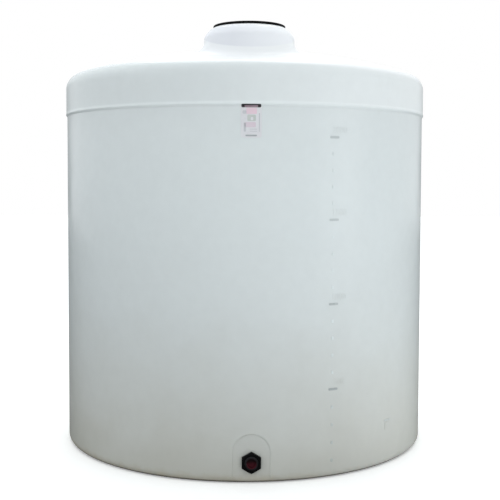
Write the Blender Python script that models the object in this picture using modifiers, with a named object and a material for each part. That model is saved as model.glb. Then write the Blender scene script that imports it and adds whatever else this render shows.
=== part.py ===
"""Vertical polyethylene storage tank with a domed roof, an offset manway lid and a bulkhead outlet.

Metres, +Z up. The origin is on the tank's axis at the underside of the floor. The outlet faces -Y,
and the manway stands on the same side of the roof. The moulded shell is split into a floor, wall,
shoulder and crown panels round the axis, a cap at the crown's centre, and the manway's neck.
"""
import math

import bmesh
import bpy
from mathutils import Matrix, Vector

# Driving dimensions of the shell
BODY_RADIUS = 1.143
WALL = 0.008
FLOOR = 0.010
KNUCKLE_RADIUS = 0.040
BEAD_BOTTOM = 2.050
BEAD_HEIGHT = 0.030
BEAD_PROUD = 0.0045
BAND_RADIUS = 1.149
SHOULDER_START = 2.227
SHOULDER_RADIUS = 0.090
CROWN_RADIUS = 3.755
CAP_RADIUS = 0.200
PANELS = 12
FACETS_PER_PANEL = 6
FRONT_CROWN_PANELS = 3

# Manway neck, its threaded collar and the lid
MANWAY_OFFSET = 0.690
NECK_RADIUS = 0.2625
NECK_FILLET = 0.055
NECK_ROUND_START = 2.464
NECK_ROUND = 0.045
NECK_CONE_ANGLE = math.radians(36)
NECK_CONE_TOP = 2.5225
COLLAR_RADIUS = 0.2120
COLLAR_BORE = 0.1800
COLLAR_PROUD = 0.007
COLLAR_DEPTH = 0.062
SEAL_THICKNESS = 0.003
LID_RADIUS = 0.2085
LID_EDGE = 0.013
LID_PLATE = 0.008
SKIRT_RADIUS = 0.1755
SKIRT_WALL = 0.006
SKIRT_DEPTH = 0.052
RIB_COUNT = 4
RIB_WIDTH = 0.012
RIB_HEIGHT = 0.006
HUB_RADIUS = 0.045
TURNED_FACETS = 72

# Outlet: an arched flat pressed into the front wall, and a 2 inch bulkhead fitting through it
OUTLET_HEIGHT = 0.116
FLAT_HALF_WIDTH = 0.104
FLAT_TOP = 0.272
FLAT_DEPTH = 0.009
OUTLET_PANEL_TOP = 0.310
NUT_ACROSS_FLATS = 0.105
NUT_THICKNESS = 0.020
BARREL_RADIUS = 0.0365
BARREL_BORE = 0.0285
BARREL_PAST_NUT = 0.010
FLANGE_RADIUS = 0.056
FLANGE_THICKNESS = 0.012
OUTLET_SEAL = 0.003
PLUG_DEPTH = 0.022
PLUG_WALL = 0.003
PLUG_RECESS = 0.001

# Label panel, whose upper edge laps over the lower half of the bead
LABEL_WIDTH = 0.112
LABEL_MIDDLE = -0.0065
LABEL_TOP = 2.065
LABEL_HEIGHT = 0.180
LABEL_THICKNESS = 0.001

# Gap left between neighbours that touch on the real tank
GAP = 0.0003

FRONT = math.radians(-90)
UP, DOWN, IN = (0, 1), (0, -1), (-1, 0)
PANEL_ANGLE = 2 * math.pi / PANELS

# Values worked out from the dimensions above
SHOULDER_CENTRE = BAND_RADIUS - SHOULDER_RADIUS
CROWN_CENTRE = SHOULDER_START - math.sqrt((CROWN_RADIUS - SHOULDER_RADIUS) ** 2 - SHOULDER_CENTRE ** 2)
SHOULDER_END = math.atan2(SHOULDER_START - CROWN_CENTRE, SHOULDER_CENTRE)
SHOULDER_CUT = (-math.cos(SHOULDER_END), -math.sin(SHOULDER_END))
NECK_FOOT_RADIUS = NECK_RADIUS + NECK_FILLET
FLAT_FACE = BODY_RADIUS - FLAT_DEPTH
NUT_FACE = FLAT_FACE + GAP + NUT_THICKNESS
BARREL_END = NUT_FACE + BARREL_PAST_NUT

parts = bpy.data.collections.new("vertical_storage_tank")
cutters = bpy.data.collections.new("cutters")


def clear_scene():
    for obj in list(bpy.data.objects):
        bpy.data.objects.remove(obj, do_unlink=True)
    for collection in (parts, cutters):
        bpy.context.scene.collection.children.link(collection)


def material(name, colour, roughness, metallic=0.0):
    """A Principled BSDF surface in one colour, given as linear red, green and blue."""
    made = bpy.data.materials.new(name)
    made.use_nodes = True
    shader = made.node_tree.nodes["Principled BSDF"]
    shader.inputs["Base Color"].default_value = (*colour, 1.0)
    shader.inputs["Roughness"].default_value = roughness
    shader.inputs["Metallic"].default_value = metallic
    return made


def add_object(name, bm, surface, collection=parts):
    """Writes the bmesh to a smooth-shaded object with its normals outwards."""
    bmesh.ops.recalc_face_normals(bm, faces=bm.faces)
    mesh = bpy.data.meshes.new(name)
    bm.to_mesh(mesh)
    bm.free()
    mesh.shade_smooth()
    mesh.set_sharp_from_angle(angle=math.radians(35))
    obj = bpy.data.objects.new(name, mesh)
    collection.objects.link(obj)
    if surface:
        mesh.materials.append(surface)
    return obj


def arc(centre, radius, start, end, steps):
    """Points (r, z) on a circular arc, both ends included."""
    angles = [start + (end - start) * i / steps for i in range(steps + 1)]
    return [(centre[0] + radius * math.cos(a), centre[1] + radius * math.sin(a)) for a in angles]


def shell_section(outer, first, last):
    """Closes an outer line with the same line moved in by the wall's thickness.

    The line runs bottom to top. first and last are the directions in which its two ends are cut.
    """
    points = [Vector(p) for p in outer]
    runs = [(after - before).normalized() for before, after in zip(points, points[1:])]
    inner = []
    for i, point in enumerate(points):
        before = runs[max(i - 1, 0)]
        after = runs[min(i, len(runs) - 1)]
        run = (before + after).normalized()
        inward = Vector((-run.y, run.x))
        if i == 0:
            inward = Vector(first)
        elif i == len(points) - 1:
            inward = Vector(last)
        inner.append(point + inward * (WALL / inward.dot(Vector((-before.y, before.x)))))
    return [tuple(p) for p in points] + [tuple(p) for p in reversed(inner)]


def arc_block(name, section, middle, sweep, steps, surface):
    """A closed section swept about the tank's axis, centred on the angle called middle."""
    bm = bmesh.new()
    face = bm.faces.new([bm.verts.new((r, 0, z)) for r, z in section])
    turn = Matrix.Rotation(middle - sweep / 2, 3, "Z")
    bmesh.ops.rotate(bm, verts=bm.verts, cent=(0, 0, 0), matrix=turn)
    bmesh.ops.spin(bm, geom=[face], axis=(0, 0, 1), cent=(0, 0, 0), angle=sweep, steps=steps)
    return add_object(name, bm, surface)


def turned(name, profile, surface, facets=TURNED_FACETS, collection=parts):
    """A profile (r, z) turned full circle about Z. A closed profile repeats its first point."""
    mesh = bpy.data.meshes.new(name)
    mesh.from_pydata([(r, 0, z) for r, z in profile], [(i, i + 1) for i in range(len(profile) - 1)], [])
    obj = bpy.data.objects.new(name, mesh)
    collection.objects.link(obj)
    if surface:
        mesh.materials.append(surface)
    screw = obj.modifiers.new("turn", "SCREW")
    screw.axis = "Z"
    screw.steps = facets
    screw.render_steps = facets
    screw.use_merge_vertices = True
    screw.merge_threshold = 0.0001
    weld = obj.modifiers.new("join", "WELD")
    weld.merge_threshold = 0.00005
    return obj


def ring(name, bore, outer, bottom, top, surface, facets=TURNED_FACETS):
    """A flat ring between two radii and two heights."""
    corners = [(outer, top), (outer, bottom), (bore, bottom), (bore, top), (outer, top)]
    return turned(name, corners, surface, facets)


def lay_on_outlet(obj):
    """Turns a piece made about Z so that its +Z points out of the tank along the outlet."""
    obj.rotation_euler = (math.radians(90), 0, 0)
    obj.location = (0, 0, OUTLET_HEIGHT)


def box(name, size, centre, surface=None, collection=parts):
    bm = bmesh.new()
    bmesh.ops.create_cube(bm, size=1.0)
    bmesh.ops.scale(bm, vec=size, verts=bm.verts)
    bmesh.ops.translate(bm, vec=centre, verts=bm.verts)
    return add_object(name, bm, surface, collection)


def prism(name, outline, near, far, collection=cutters):
    """An outline (x, z) extruded along -Y, from near to far from the axis."""
    bm = bmesh.new()
    face = bm.faces.new([bm.verts.new((x, -near, z)) for x, z in outline])
    grown = bmesh.ops.extrude_face_region(bm, geom=[face])
    moved = [v for v in grown["geom"] if isinstance(v, bmesh.types.BMVert)]
    bmesh.ops.translate(bm, vec=(0, near - far, 0), verts=moved)
    return add_object(name, bm, None, collection)


def cylinder(name, radius, near, far, collection=cutters):
    """A round bar along the outlet's axis, from near to far from the tank's axis."""
    bm = bmesh.new()
    bmesh.ops.create_cone(
        bm, cap_ends=True, segments=TURNED_FACETS, radius1=radius, radius2=radius, depth=far - near
    )
    bmesh.ops.rotate(bm, verts=bm.verts, cent=(0, 0, 0), matrix=Matrix.Rotation(math.radians(90), 3, "X"))
    bmesh.ops.translate(bm, vec=(0, -(near + far) / 2, OUTLET_HEIGHT), verts=bm.verts)
    return add_object(name, bm, None, collection)


def combine(obj, other, operation):
    """Adds a Boolean and hides the other object, which stays as a guide."""
    other.hide_render = True
    other.display_type = "WIRE"
    modifier = obj.modifiers.new(other.name, "BOOLEAN")
    modifier.object = other
    modifier.operation = operation


def crown_height(radius):
    return CROWN_CENTRE + math.sqrt(CROWN_RADIUS ** 2 - radius ** 2)


def wall_line():
    """Outer line of the wall: base knuckle, straight wall, bead, and the band above it."""
    points = arc((BODY_RADIUS - KNUCKLE_RADIUS, KNUCKLE_RADIUS), KNUCKLE_RADIUS, -math.pi / 2, 0, 4)
    bead_steps = 6
    for i in range(bead_steps + 1):
        share = i / bead_steps
        rise = BEAD_PROUD * (1 - math.cos(2 * math.pi * share)) / 2
        base = BODY_RADIUS + (BAND_RADIUS - BODY_RADIUS) * share
        points.append((base + rise, BEAD_BOTTOM + BEAD_HEIGHT * share))
    points.append((BAND_RADIUS, SHOULDER_START - GAP))
    return points


def shoulder_line():
    """Outer line of the rounded shoulder between the wall and the crown."""
    return arc((SHOULDER_CENTRE, SHOULDER_START), SHOULDER_RADIUS, 0, SHOULDER_END, 5)


def crown_line():
    """Outer line of the crown, from the shoulder in to the cap."""
    start = CROWN_RADIUS * math.cos(SHOULDER_END) - 2 * GAP
    end = CAP_RADIUS + GAP
    steps = 8
    radii = [start + (end - start) * i / steps for i in range(steps + 1)]
    return [(radius, crown_height(radius)) for radius in radii]


def make_shell(surface):
    """Floor, wall, shoulder, crown and cap. Returns the outlet's panel and the front of the crown.

    The front wall panel is in two: the foot that carries the outlet, and the rest above it.
    """
    floor_radius = BODY_RADIUS - KNUCKLE_RADIUS - GAP
    facets = PANELS * FACETS_PER_PANEL
    turned("floor", [(0, FLOOR), (floor_radius, FLOOR), (floor_radius, 0), (0, 0)], surface, facets)
    line = wall_line()
    foot = [point for point in line if point[1] < OUTLET_PANEL_TOP] + [(BODY_RADIUS, OUTLET_PANEL_TOP - GAP)]
    rest = [(BODY_RADIUS, OUTLET_PANEL_TOP)] + [point for point in line if point[1] > OUTLET_PANEL_TOP]
    foot_section = shell_section(foot, UP, IN)
    rest_section = shell_section(rest, IN, IN)
    wall_section = shell_section(line, UP, IN)
    shoulder_section = shell_section(shoulder_line(), IN, SHOULDER_CUT)
    crown_section = shell_section(crown_line(), SHOULDER_CUT, DOWN)
    sweep = PANEL_ANGLE - GAP / BODY_RADIUS
    outlet_panel = arc_block("outlet_panel", foot_section, FRONT, sweep, FACETS_PER_PANEL, surface)
    for i in range(PANELS):
        middle = FRONT + i * PANEL_ANGLE
        name = "front" if i == 0 else f"{i + 1:02d}"
        section = rest_section if i == 0 else wall_section
        arc_block(f"wall_{name}", section, middle, sweep, FACETS_PER_PANEL, surface)
        arc_block(f"shoulder_{name}", shoulder_section, middle, sweep, FACETS_PER_PANEL, surface)
    seam = GAP / (BODY_RADIUS / 2)
    crown_front = arc_block("crown_front", crown_section, FRONT, FRONT_CROWN_PANELS * PANEL_ANGLE - seam,
                            FRONT_CROWN_PANELS * FACETS_PER_PANEL, surface)
    for i in range(PANELS - FRONT_CROWN_PANELS):
        middle = FRONT + (FRONT_CROWN_PANELS / 2 + 0.5 + i) * PANEL_ANGLE
        arc_block(f"crown_{i + 2:02d}", crown_section, middle, PANEL_ANGLE - seam, FACETS_PER_PANEL, surface)
    cap = [(radius, crown_height(radius)) for radius in (0, CAP_RADIUS / 2, CAP_RADIUS)]
    turned("crown_cap", cap + [(radius, height - WALL) for radius, height in reversed(cap)], surface, facets)
    return outlet_panel, crown_front


def arch(grow, bottom):
    """Outline of the arched flat, grown on all sides but its bottom."""
    half = FLAT_HALF_WIDTH + grow
    centre = FLAT_TOP - FLAT_HALF_WIDTH
    return [(-half, bottom)] + [(half, bottom)] + arc((0, centre), half, 0, math.pi, 16)


def press_flat(panel):
    """Presses the arched flat into the outlet's panel and bores it for the fitting."""
    backing = prism("flat_backing", arch(WALL, KNUCKLE_RADIUS / 2), FLAT_FACE - WALL, BODY_RADIUS - WALL / 2)
    recess = prism("flat_recess", arch(0, -KNUCKLE_RADIUS), FLAT_FACE, BODY_RADIUS + KNUCKLE_RADIUS)
    bore = cylinder("flat_bore", BARREL_RADIUS + GAP, FLAT_FACE - 4 * WALL, BODY_RADIUS + WALL)
    combine(panel, backing, "UNION")
    combine(panel, recess, "DIFFERENCE")
    combine(panel, bore, "DIFFERENCE")


def make_outlet(plastic, rubber, plug_plastic):
    """Bulkhead fitting: flange and seal inside the wall, nut outside it, and a cup plug in its end."""
    wall_inside = FLAT_FACE - WALL
    seal_back = wall_inside - GAP - OUTLET_SEAL
    flange_front = seal_back - GAP
    flange_back = flange_front - FLANGE_THICKNESS
    body = [
        (BARREL_RADIUS, BARREL_END),
        (BARREL_RADIUS, flange_front),
        (FLANGE_RADIUS, flange_front),
        (FLANGE_RADIUS, flange_back),
        (BARREL_BORE, flange_back),
        (BARREL_BORE, BARREL_END),
        (BARREL_RADIUS, BARREL_END),
    ]
    lay_on_outlet(turned("outlet_body", body, plastic))
    bore = BARREL_RADIUS + GAP
    lay_on_outlet(ring("outlet_seal", bore, FLANGE_RADIUS, seal_back, wall_inside - GAP, rubber))
    across_corners = NUT_ACROSS_FLATS / math.cos(math.radians(30))
    corners = [math.radians(90 + 60 * i) for i in range(6)]
    outline = [
        (across_corners / 2 * math.cos(a), OUTLET_HEIGHT + across_corners / 2 * math.sin(a)) for a in corners
    ]
    nut = prism("outlet_nut", outline, FLAT_FACE + GAP, NUT_FACE, parts)
    nut.data.materials.append(plastic)
    combine(nut, cylinder("nut_bore", bore, FLAT_FACE - WALL, NUT_FACE + WALL), "DIFFERENCE")
    plug_front = BARREL_END - PLUG_RECESS
    plug_back = plug_front - PLUG_DEPTH
    plug_outer = BARREL_BORE - GAP
    plug_inner = plug_outer - PLUG_WALL
    plug = [
        (0, plug_back + PLUG_WALL),
        (plug_inner, plug_back + PLUG_WALL),
        (plug_inner, plug_front),
        (plug_outer, plug_front),
        (plug_outer, plug_back),
        (0, plug_back),
    ]
    lay_on_outlet(turned("outlet_plug", plug, plug_plastic))


def neck_top_line():
    """Outer line of the neck's upper part: a round, a cone, and a narrow ledge in to the collar."""
    points = arc((NECK_RADIUS - NECK_ROUND, NECK_ROUND_START), NECK_ROUND, 0, NECK_CONE_ANGLE, 4)
    radius, height = points[-1]
    cone_top = radius - (NECK_CONE_TOP - height) * math.tan(NECK_CONE_ANGLE)
    ledge_rise = 0.002
    return points + [(cone_top, NECK_CONE_TOP), (COLLAR_RADIUS + 2 * GAP, NECK_CONE_TOP + ledge_rise)]


def neck_foot(angle):
    """Outer and inner line of the neck's flared foot at one angle about the manway's axis."""
    steps = 5
    wall_rise = 0.004
    heights = []
    for radius in (NECK_FOOT_RADIUS, NECK_RADIUS):
        x = radius * math.cos(angle)
        y = radius * math.sin(angle) - MANWAY_OFFSET
        heights.append(crown_height(math.hypot(x, y)))
    foot, base = heights
    top = min(base + NECK_FILLET, NECK_ROUND_START - wall_rise)
    lines = []
    for grow in (0, WALL):
        turns = [math.pi / 2 * i / steps for i in range(steps + 1)]
        lines.append([(NECK_FOOT_RADIUS - (NECK_FILLET + grow) * math.sin(t),
                       top - (top - foot + grow) * math.cos(t)) for t in turns])
    return lines


def make_neck(surface):
    """Neck lofted round the manway's axis, because its foot follows the slope of the crown."""
    upper = shell_section(neck_top_line(), IN, DOWN)
    bm = bmesh.new()
    loops = []
    for i in range(TURNED_FACETS):
        angle = 2 * math.pi * i / TURNED_FACETS
        outer, inner = neck_foot(angle)
        section = outer + upper + list(reversed(inner))
        direction = Vector((math.cos(angle), math.sin(angle), 0))
        axis = Vector((0, -MANWAY_OFFSET, 0))
        loops.append([bm.verts.new(axis + direction * r + Vector((0, 0, z))) for r, z in section])
    for here, there in zip(loops, loops[1:] + loops[:1]):
        for i in range(len(here)):
            j = (i + 1) % len(here)
            bm.faces.new((here[i], here[j], there[j], there[i]))
    add_object("neck", bm, surface)


def cut_manway(crown_front):
    """Cuts the hole for the neck's foot through the front of the crown."""
    bm = bmesh.new()
    radius = NECK_FOOT_RADIUS + 2 * GAP
    bmesh.ops.create_cone(bm, cap_ends=True, segments=TURNED_FACETS, radius1=radius, radius2=radius,
                          depth=SHOULDER_START)
    bmesh.ops.translate(bm, vec=(0, -MANWAY_OFFSET, NECK_ROUND_START), verts=bm.verts)
    combine(crown_front, add_object("manway_hole", bm, None, cutters), "DIFFERENCE")


def make_manway(surface, lid_plastic, rubber):
    """Threaded collar in the neck's mouth, the seal on it, and the lid with its skirt and ribs."""
    ledge = neck_top_line()[-1][1]
    lip_top = ledge + COLLAR_PROUD
    collar_wall = COLLAR_BORE + WALL
    collar = [
        (COLLAR_RADIUS, lip_top),
        (COLLAR_RADIUS, ledge - WALL),
        (collar_wall, ledge - WALL),
        (collar_wall, lip_top - COLLAR_DEPTH),
        (COLLAR_BORE, lip_top - COLLAR_DEPTH),
        (COLLAR_BORE, lip_top),
        (COLLAR_RADIUS, lip_top),
    ]
    seal_top = lip_top + GAP + SEAL_THICKNESS
    bottom = seal_top + GAP
    top = bottom + LID_EDGE
    dish = bottom + LID_PLATE
    rim = LID_RADIUS - 2 * WALL
    edge_round = 0.004
    plate = [
        (0, dish + RIB_HEIGHT),
        (HUB_RADIUS, dish + RIB_HEIGHT),
        (HUB_RADIUS, dish),
        (rim - WALL / 2, dish),
        (rim, top),
        (LID_RADIUS - edge_round, top),
        (LID_RADIUS, top - edge_round),
        (LID_RADIUS, bottom),
        (0, bottom),
    ]
    lid_plate = turned("lid_plate", plate, lid_plastic)
    pieces = [
        lid_plate,
        turned("manway_collar", collar, surface),
        ring("lid_seal", COLLAR_BORE, LID_RADIUS - WALL, lip_top + GAP, seal_top, rubber),
        ring("lid_skirt", SKIRT_RADIUS - SKIRT_WALL, SKIRT_RADIUS, bottom - GAP - SKIRT_DEPTH, bottom - GAP,
             lid_plastic),
    ]
    for i in range(RIB_COUNT):
        size = (2 * (rim - 2 * WALL), RIB_WIDTH, RIB_HEIGHT + LID_PLATE / 2)
        rib = box(f"rib_{i + 1}", size, (0, 0, dish + RIB_HEIGHT - GAP - size[2] / 2), collection=cutters)
        rib.rotation_euler.z = math.pi * (i + 0.25) / RIB_COUNT
        combine(lid_plate, rib, "UNION")
        pieces.append(rib)
    for piece in pieces:
        piece.location.y = -MANWAY_OFFSET


def make_label(surface):
    """Thin blank label panel that follows the front wall's facets and the rise of the bead."""
    bottom = LABEL_TOP - LABEL_HEIGHT
    facet = PANEL_ANGLE / FACETS_PER_PANEL
    rise = [point for point in wall_line() if bottom < point[1] <= LABEL_TOP + GAP]
    line = [(BODY_RADIUS, bottom)] + rise
    near = [(radius + 2 * GAP, height) for radius, height in line]
    far = [(radius + LABEL_THICKNESS, height) for radius, height in near]
    section = near + list(reversed(far))
    label = arc_block("label_panel", section, FRONT, 2 * facet, 2, surface)
    trim_centre = (LABEL_MIDDLE, -BODY_RADIUS, LABEL_TOP - LABEL_HEIGHT / 2)
    trim = box("label_trim", (LABEL_WIDTH, 0.2, 2 * LABEL_HEIGHT), trim_centre, collection=cutters)
    combine(label, trim, "INTERSECT")


def main():
    clear_scene()
    natural = material("natural_polyethylene", (0.62, 0.66, 0.66), 0.42)
    black = material("black_polypropylene", (0.012, 0.012, 0.013), 0.45)
    rubber = material("seal_rubber", (0.02, 0.02, 0.02), 0.8)
    red = material("dark_red_plastic", (0.10, 0.012, 0.018), 0.5)
    vinyl = material("label_vinyl", (0.72, 0.62, 0.62), 0.5)
    outlet_panel, crown_front = make_shell(natural)
    press_flat(outlet_panel)
    make_outlet(black, rubber, red)
    cut_manway(crown_front)
    make_neck(natural)
    make_manway(natural, black, rubber)
    make_label(vinyl)


main()
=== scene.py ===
"""Dressed view of a vertical polyethylene storage tank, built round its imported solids.

Metres, +Z up, origin on the tank's axis under the floor. The outlet and the manway are on -Y.
"""
import math

import bmesh
import bpy
import numpy as np
from mathutils import Matrix, Vector


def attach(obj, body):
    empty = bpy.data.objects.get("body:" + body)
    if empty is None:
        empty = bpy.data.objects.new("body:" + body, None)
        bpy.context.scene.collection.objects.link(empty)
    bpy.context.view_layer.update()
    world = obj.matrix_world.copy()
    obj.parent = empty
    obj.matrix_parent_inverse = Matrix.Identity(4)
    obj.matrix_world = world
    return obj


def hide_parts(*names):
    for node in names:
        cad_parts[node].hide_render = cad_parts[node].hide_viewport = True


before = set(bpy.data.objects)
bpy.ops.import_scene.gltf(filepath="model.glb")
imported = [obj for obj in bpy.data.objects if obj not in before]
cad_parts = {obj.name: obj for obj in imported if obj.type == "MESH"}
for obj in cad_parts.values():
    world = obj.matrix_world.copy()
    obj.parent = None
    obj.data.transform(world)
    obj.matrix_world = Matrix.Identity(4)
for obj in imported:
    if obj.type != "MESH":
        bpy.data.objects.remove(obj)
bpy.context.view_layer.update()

# Sizes of the shell, as in the solids
BODY_RADIUS = 1.143
WALL = 0.008
FLOOR = 0.010
KNUCKLE_RADIUS = 0.040
BEAD_BOTTOM = 2.050
BEAD_HEIGHT = 0.030
BEAD_PROUD = 0.0045
BAND_RADIUS = 1.149
SHOULDER_START = 2.227
SHOULDER_RADIUS = 0.090
CROWN_RADIUS = 3.755
SHOULDER_CENTRE = BAND_RADIUS - SHOULDER_RADIUS
CROWN_CENTRE = SHOULDER_START - math.sqrt(
    (CROWN_RADIUS - SHOULDER_RADIUS) ** 2 - SHOULDER_CENTRE ** 2)
SHOULDER_END = math.atan2(SHOULDER_START - CROWN_CENTRE, SHOULDER_CENTRE)

# Manway and lid
MANWAY_OFFSET = 0.690
NECK_RADIUS = 0.2625
NECK_FILLET = 0.055
NECK_ROUND_START = 2.464
NECK_ROUND = 0.045
NECK_CONE_ANGLE = math.radians(36)
NECK_CONE_TOP = 2.5225
LEDGE = NECK_CONE_TOP + 0.002
COLLAR_RADIUS = 0.2120
COLLAR_BORE = 0.1800
COLLAR_TOP = LEDGE + 0.007
COLLAR_DEPTH = 0.062
LID_RADIUS = 0.2085
LID_BOTTOM = COLLAR_TOP + 0.0036
LID_EDGE = 0.013
LID_PLATE = 0.008
HUB_RADIUS = 0.045
RIB_HEIGHT = 0.006
RIB_COUNT = 8
FLUTE_COUNT = 96
SKIRT_RADIUS = 0.1755
SKIRT_WALL = 0.006
SKIRT_DEPTH = 0.052

# Threads of the collar and the lid: a turn's rise, the whole rise, their starts and ridges
THREAD_PITCH = 0.010
THREAD_RISE = 0.036
COLLAR_THREAD_START = COLLAR_TOP - 0.050
COLLAR_RIDGE = 0.0014
LID_THREAD_START = LID_BOTTOM - 0.048
LID_RIDGE = 0.0020

# Outlet
OUTLET_HEIGHT = 0.116
FLAT_HALF_WIDTH = 0.104
FLAT_TOP = 0.272
FLAT_FACE = BODY_RADIUS - 0.009
NUT_ACROSS_FLATS = 0.105
NUT_BACK = FLAT_FACE + 0.0003
NUT_FACE = NUT_BACK + 0.020
BARREL_RADIUS = 0.0365
BARREL_BORE = 0.0285
BARREL_END = NUT_FACE + 0.010
BARREL_PITCH = 0.0022
FLANGE_RADIUS = 0.056
FLANGE_FRONT = 1.1224
FLANGE_BACK = 1.1104
PLUG_DEPTH = 0.022
PLUG_WALL = 0.003
PLUG_RECESS = 0.001

# Label, with its inks: name, tone and the tone where it is worn
LABEL_WIDTH = 0.112
LABEL_MIDDLE = -0.0065
LABEL_TOP = 2.065
LABEL_HEIGHT = 0.180
LABEL_FACE = 0.0011
LABEL_INKS = (
    ("near_black", "#19171A", "#4A4247"),
    ("faded_pink", "#E2C8D4", "#DDCCD3"),
    ("grey_green", "#BEC4C0", "#C8CCC9"),
    ("grey", "#C2C3C8", "#C9CACD"),
    ("mauve", "#D4C7D0", "#D6CCD3"),
    ("dark_grey", "#9EA3A5", "#AAAEB0"),
    ("worn_black", "#86717C", "#9C8B93"),
)

# Volume marks to the right of the label, one long mark at each of the heights above 0, and the
# blank pad low on the right with a dark line over it, a painted shadow of the pad's top edge. RELIEF
# is where their backs and faces stand
MARK_ANGLE = math.radians(23.25)
MARK_HEIGHTS = (0.0, 0.4993, 0.9741, 1.4406, 1.8936)
MARK_GALLONS = 500
MARK_SHIFT = 0.006
LONG_MARK = (0.058, 0.013)
SHORT_MARKS = 4
SHORT_MARK = (0.013, 0.018)
NUMBER_SHIFT = 0.040
NUMBER_RISE = 0.014
NUMBER_SIZE = 0.050
NUMBER_RELIEF = 0.0006
PAD_ANGLE = math.radians(44.9)
PAD_MIDDLE = 0.2293
PAD_SIZE = (0.046, 0.044)
PAD_SHADOW_LINE = 0.264
PAD_SHADOW_LINE_SIZE = (0.060, 0.009)
RELIEF = (-0.002, 0.0018)

# Tones of the shell, with painted light and shade in them: the wall from its foot up, darker at the
# foot as painted shade, the band above the bead, the neck and its paler right side, and the pale
# roof
WALL_TONES_WITH_PAINTED_SHADE = ((0.0, "#B9B9B2"), (0.22, "#C6C9C6"), (0.45, "#D2D8D9"), (0.80, "#D9E0E1"),
              (1.0, "#D9DFE0"))
BAND_PAINTED_LIGHT_TONE = "#F6FAFB"
NECK_TONE = "#E6E8EE"
NECK_PAINTED_LIGHT_TONE = "#F6F8FC"
PAINTED_LIGHT_TONE = "#FAFCFD"

# Where the roof's painted light starts, above the shoulder's start, and where it stops at the neck,
# above the crown's sphere, and how much lower that lies for each metre to the right, or in front of
# or behind the manway
PAINTED_LIGHT_START = (0.058, 0.098)
PAINTED_LIGHT_START_TILT = 0.028
PAINTED_LIGHT_END = (0.079, 0.071)
PAINTED_LIGHT_END_TILT = 0.117

# Dirt low on the wall, and the dark line at the ground, partly painted contact shade: the heights
# between which each sets in, its share at the foot and its tone
DUST = (0.42, 0.12, 0.35, "#A9A79B")
SOIL = (0.085, 0.035, 0.55, "#A1967E")
DAMP_AND_CONTACT_SHADE = (0.018, 0.009, 0.82, "#5C5850")

# Floor. Each span is from where to where across it, and from what to what: the share of light
# that it gives back, what it gives more just right of the tank, and what is left further right.
# The sheen on the wall sees two tones of it
FLOOR_EDGE = 40.0
FLOOR_LEVEL = -0.0005
FLOOR_SPANS = ((-3.0, 2.5, 0.36, 1.20), (0.6, 1.3, 0.0, 0.7), (1.8, 3.2, 1.0, 0.22))
GROUND_MIDDLE = (0.0, 12.0, 0.0)
GROUND_REACH = 21.5
GROUND_TONES = (0.04, 0.80)

# Surroundings: light from left to right, its share at the far right, and the dark card low behind
# the tank. Then the lamps' watts
FILL = (1.15, 1.02)
FILL_TO_RIGHT = 0.88
CARD_FROM = 0.80
CARD_SOFTNESS = 0.06
CARD_TOP = 0.25
CARD_TONE = 0.1
OVERHEAD_POWER = 92
FRONT_RIGHT_POWER = 18

# Gap between neighbours
CLEAR = 0.0003


def linear(code):
    """An sRGB hex colour as linear red, green, blue and alpha."""
    parts = [int(code[i:i + 2], 16) / 255 for i in (1, 3, 5)]
    parts = [p / 12.92 if p <= 0.04045 else ((p + 0.055) / 1.055) ** 2.4 for p in parts]
    return (*parts, 1.0)


def add(tree, kind, links=None, **settings):
    """Adds a node. links gives its inputs as sockets to join or as plain values."""
    made = tree.nodes.new(kind)
    for name, value in settings.items():
        setattr(made, name, value)
    for key, value in (links or {}).items():
        socket = made.inputs[key]
        if isinstance(value, bpy.types.NodeSocket):
            tree.links.new(value, socket)
        else:
            socket.default_value = value
    return made


def new_material(name, roughness, **values):
    """A material with its Principled shader, ready for the nodes that vary it."""
    made = bpy.data.materials.new(name)
    made.use_nodes = True
    shader = made.node_tree.nodes["Principled BSDF"]
    shader.inputs["Roughness"].default_value = roughness
    for key, value in values.items():
        shader.inputs[key.replace("_", " ")].default_value = value
    return made, made.node_tree, shader


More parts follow.
